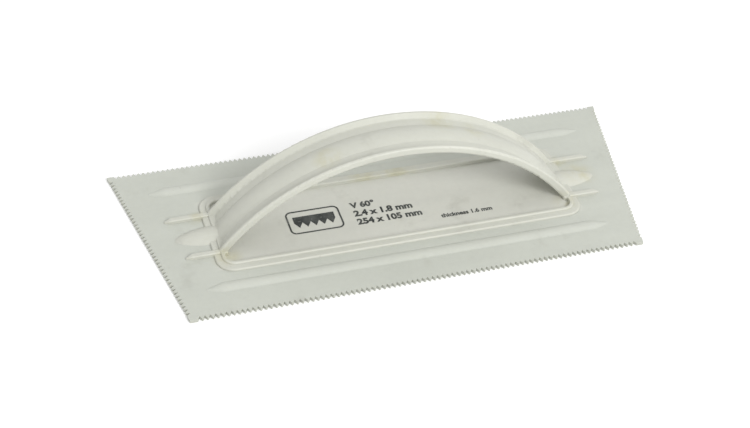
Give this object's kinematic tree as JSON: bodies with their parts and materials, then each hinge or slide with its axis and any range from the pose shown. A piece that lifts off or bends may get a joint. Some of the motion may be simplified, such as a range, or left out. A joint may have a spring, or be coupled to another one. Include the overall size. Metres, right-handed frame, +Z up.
{
  "type": "notched trowel",
  "caption": "Flat trapezoid plastic trowel blade with fine V-notches on every edge and an arched D-shaped handle standing on it.",
  "frame": {"origin": "centre of the working face, which is the blade's flat underside", "axes": "+X along the blade's long edges, +Y from the short long edge to the longer one, +Z up out of the working face to the handle"},
  "size_m": [0.254, 0.1048, 0.047],
  "materials": {
    "blade_plastic": "semi-matte grey-white moulded plastic",
    "handle_plastic": "satin off-white moulded plastic",
    "print_ink": "matte black printing ink"
  },
  "bodies": {
    "root": {"notched_blade": "blade_plastic", "arched_handle": "handle_plastic", "notch_symbol": "print_ink"}
  },
  "joints": []
}
